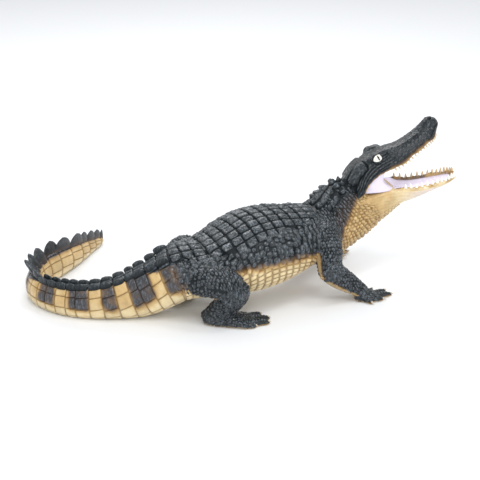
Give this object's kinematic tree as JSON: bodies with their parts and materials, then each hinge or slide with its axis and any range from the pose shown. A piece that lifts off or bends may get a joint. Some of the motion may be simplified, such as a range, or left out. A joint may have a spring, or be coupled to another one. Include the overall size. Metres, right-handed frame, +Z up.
{
  "type": "toy alligator figure",
  "caption": "Moulded, painted toy alligator standing on four feet, head raised, mouth open, tail curled on the floor.",
  "frame": {"origin": "centre of the bounding box on the floor that the feet and tail stand on", "axes": "+X the way the trunk faces, +Y the animal's left side, +Z up"},
  "size_m": [0.3346, 0.2101, 0.1306],
  "materials": {
    "dark_paint": "semi-gloss dark slate paint on soft vinyl, fading to brown and cream below",
    "cream_paint": "semi-gloss cream paint on soft vinyl with brown in its grooves",
    "mouth_paint": "semi-gloss pale lilac paint",
    "eye_paint": "glossy off-white paint with a black slit pupil"
  },
  "bodies": {
    "root": {"head": "dark_paint", "palate": "mouth_paint", "lower_jaw": "cream_paint", "mouth_floor": "mouth_paint", "throat_wall": "mouth_paint", "left_eye": "eye_paint", "right_eye": "eye_paint", "neck": "dark_paint", "trunk": "dark_paint", "hips": "dark_paint", "tail_1": "dark_paint", "tail_2": "dark_paint", "tail_3": "dark_paint", "tail_4": "dark_paint", "tail_5": "dark_paint", "right_upper_arm": "dark_paint", "right_forearm": "dark_paint", "right_hand": "dark_paint", "right_thigh": "dark_paint", "right_shin": "dark_paint", "right_foot": "dark_paint", "left_upper_arm": "dark_paint", "left_forearm": "dark_paint", "left_hand": "dark_paint", "left_thigh": "dark_paint", "left_shin": "dark_paint", "left_foot": "dark_paint"}
  },
  "joints": []
}
